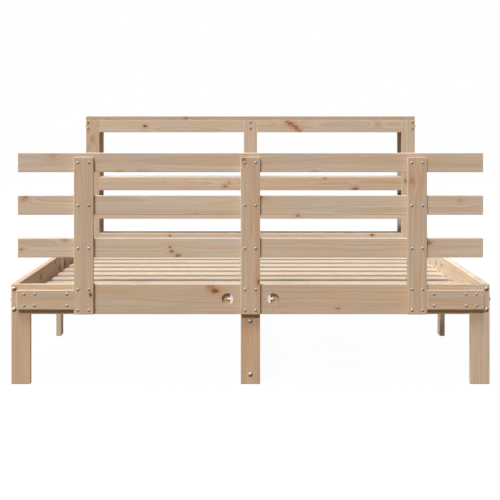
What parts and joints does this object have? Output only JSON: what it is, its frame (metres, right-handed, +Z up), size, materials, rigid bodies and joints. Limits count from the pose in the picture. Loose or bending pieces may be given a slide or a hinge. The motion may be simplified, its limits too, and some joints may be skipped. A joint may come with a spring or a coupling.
{
  "type": "slatted pine double bed frame with bookcase headboard",
  "caption": "Pine double bed frame with a slatted foot end on screwed posts, bolted rails and beams, cross slats and an open bookcase headboard.",
  "frame": {"origin": "on the floor, in the middle of the bed's length and width", "axes": "+Z up, +Y from the foot end to the head end, +X to the right for someone facing the foot end"},
  "size_m": [1.6632, 2.2676, 0.9448],
  "materials": {
    "pine": "unfinished planed pine with low-contrast straight grain and small knots, satin",
    "beech": "turned beech dowel, matt",
    "zinc": "bright zinc plate on steel"
  },
  "bodies": {
    "root": {"barrel_nuts": "zinc", "case_back_post_centre": "pine", "case_back_post_left": "pine", "case_back_post_right": "pine", "case_back_rail_left": "pine", "case_back_rail_right": "pine", "case_back_top_rail_left": "pine", "case_back_top_rail_right": "pine", "case_front_post_centre": "pine", "case_front_post_left": "pine", "case_front_post_right": "pine", "case_head_rail_left": "pine", "case_head_rail_right": "pine", "case_lower_board_left": "pine", "case_lower_board_right": "pine", "case_shelf_board_left": "pine", "case_shelf_board_right": "pine", "case_shelf_left": "pine", "case_shelf_right": "pine", "case_ties_centre": "pine", "case_ties_left": "pine", "case_ties_right": "pine", "case_top_left": "pine", "case_top_rail_left": "pine", "case_top_rail_right": "pine", "case_top_right": "pine", "centre_beam": "pine", "centre_beam_leg": "pine", "dowels": "beech", "floor_beam": "pine", "flush_screws": "zinc", "foot_board_bottom_left": "pine", "foot_board_bottom_right": "pine", "foot_board_middle_left": "pine", "foot_board_middle_right": "pine", "foot_board_top_left": "pine", "foot_board_top_right": "pine", "foot_leg_centre": "pine", "foot_leg_left": "pine", "foot_leg_right": "pine", "foot_post_centre": "pine", "foot_post_left": "pine", "foot_post_right": "pine", "foot_rail_left": "pine", "foot_rail_right": "pine", "foot_splice_left": "pine", "foot_splice_right": "pine", "frame_bolts": "zinc", "half_moon_nuts": "zinc", "round_head_screws": "zinc", "side_leg_left": "pine", "side_leg_right": "pine", "side_rail_left_foot": "pine", "side_rail_left_head": "pine", "side_rail_right_foot": "pine", "side_rail_right_head": "pine", "slat_ledger_left": "pine", "slat_ledger_right": "pine", "slats": "pine", "threaded_rods": "zinc"}
  },
  "joints": []
}
